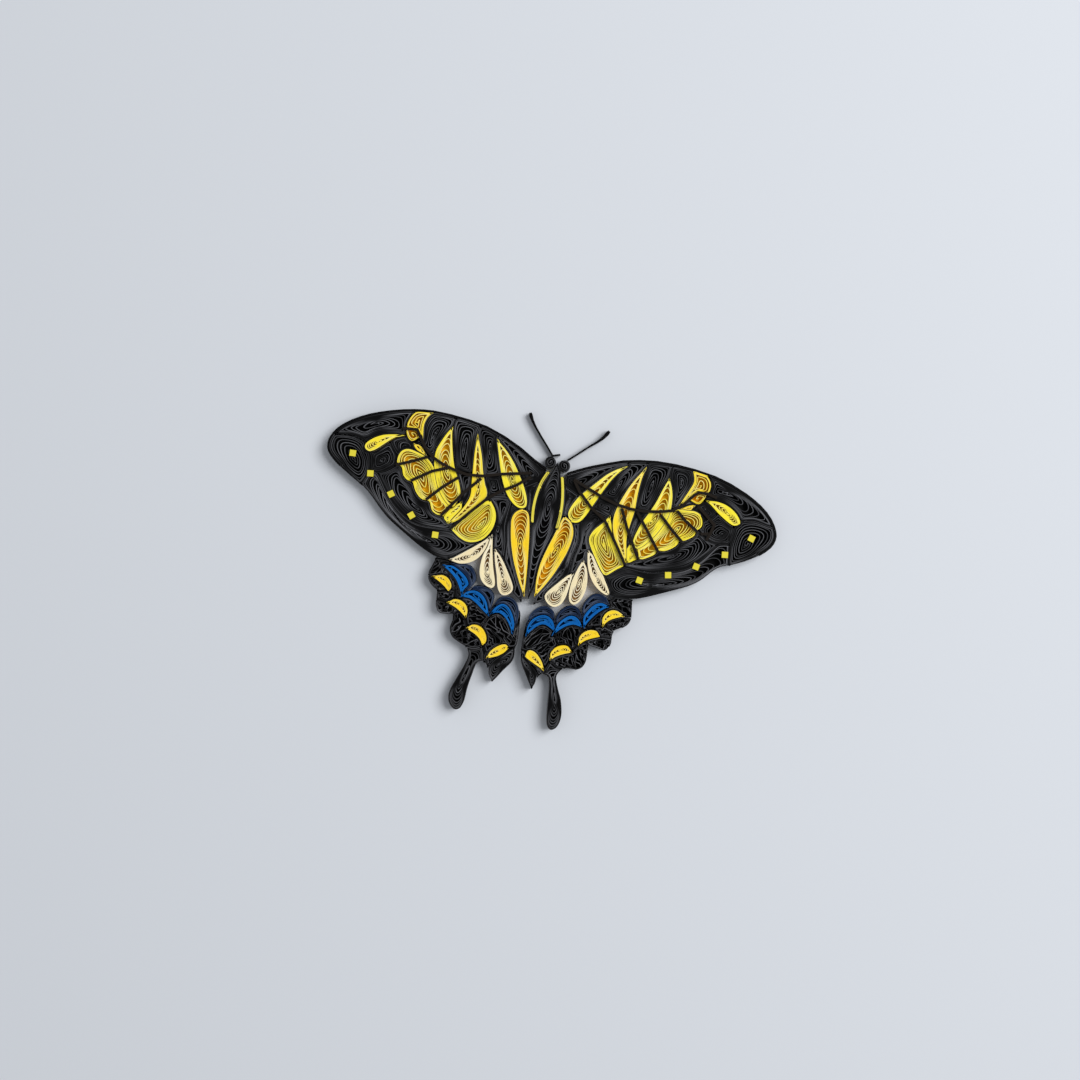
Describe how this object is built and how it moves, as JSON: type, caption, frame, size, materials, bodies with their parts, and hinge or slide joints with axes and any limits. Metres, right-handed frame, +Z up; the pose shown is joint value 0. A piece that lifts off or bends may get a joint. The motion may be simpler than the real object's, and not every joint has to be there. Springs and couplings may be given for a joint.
{
  "type": "quilled paper butterfly",
  "caption": "Flat quilled butterfly: paper strips rolled, pinched and stood on edge, black wings set with yellow, cream and blue rolls, thin antennae and hindwing tails, glued down by its back.",
  "frame": {"origin": "on the body's mid-line between the wings, on the flat back that is glued down", "axes": "+X to the wing on the right seen from above with the head up, +Y to the head, +Z up from the back"},
  "size_m": [0.1074, 0.0719, 0.0036],
  "materials": {
    "yellow_paper": "matt",
    "lemon_paper": "matt",
    "cream_paper": "matt",
    "blue_paper": "matt",
    "navy_paper": "matt",
    "black_paper": "matt"
  },
  "bodies": {
    "root": {"abdomen_roll_left": "yellow_paper", "abdomen_roll_right": "yellow_paper", "antenna_left": "black_paper", "antenna_right": "black_paper", "apex_drop_left": "yellow_paper", "apex_drop_right": "yellow_paper", "apex_roll_left": "black_paper", "apex_roll_right": "black_paper", "bar_gap_rolls_left": "black_paper", "bar_gap_rolls_right": "black_paper", "bar_inner_left": "yellow_paper", "bar_inner_right": "yellow_paper", "bar_middle_left": "yellow_paper", "bar_middle_right": "yellow_paper", "bar_outer_left": "yellow_paper", "bar_outer_right": "yellow_paper", "base_rolls_left": "black_paper", "base_rolls_right": "black_paper", "blue_crescents_left": "blue_paper", "blue_crescents_right": "blue_paper", "body_roll": "black_paper", "cell_base_left": "yellow_paper", "cell_base_right": "yellow_paper", "cell_roll_left": "yellow_paper", "cell_roll_right": "yellow_paper", "cell_wedge_left": "yellow_paper", "cell_wedge_right": "yellow_paper", "corner_roll_left": "black_paper", "corner_roll_right": "black_paper", "costal_comma_left": "yellow_paper", "costal_comma_right": "yellow_paper", "costal_links_left": "yellow_paper", "costal_links_right": "yellow_paper", "cream_drops_left": "cream_paper", "cream_drops_right": "cream_paper", "eye_left": "black_paper", "eye_right": "black_paper", "inner_margin_rolls_left": "black_paper", "inner_margin_rolls_right": "black_paper", "lower_rolls_left": "black_paper", "lower_rolls_right": "black_paper", "lunules_left": "yellow_paper", "lunules_right": "yellow_paper", "navy_crescents_left": "navy_paper", "navy_crescents_right": "navy_paper", "outer_margin_rolls_left": "black_paper", "outer_margin_rolls_right": "black_paper", "squares_left": "lemon_paper", "squares_right": "lemon_paper", "tail_roll_left": "black_paper", "tail_roll_right": "black_paper", "thorax_stripe_left": "lemon_paper", "thorax_stripe_right": "lemon_paper", "tip_roll_left": "black_paper", "tip_roll_right": "black_paper", "upper_rolls_left": "black_paper", "upper_rolls_right": "black_paper", "veins_left": "black_paper", "veins_right": "black_paper", "wing_rims": "black_paper"}
  },
  "joints": []
}
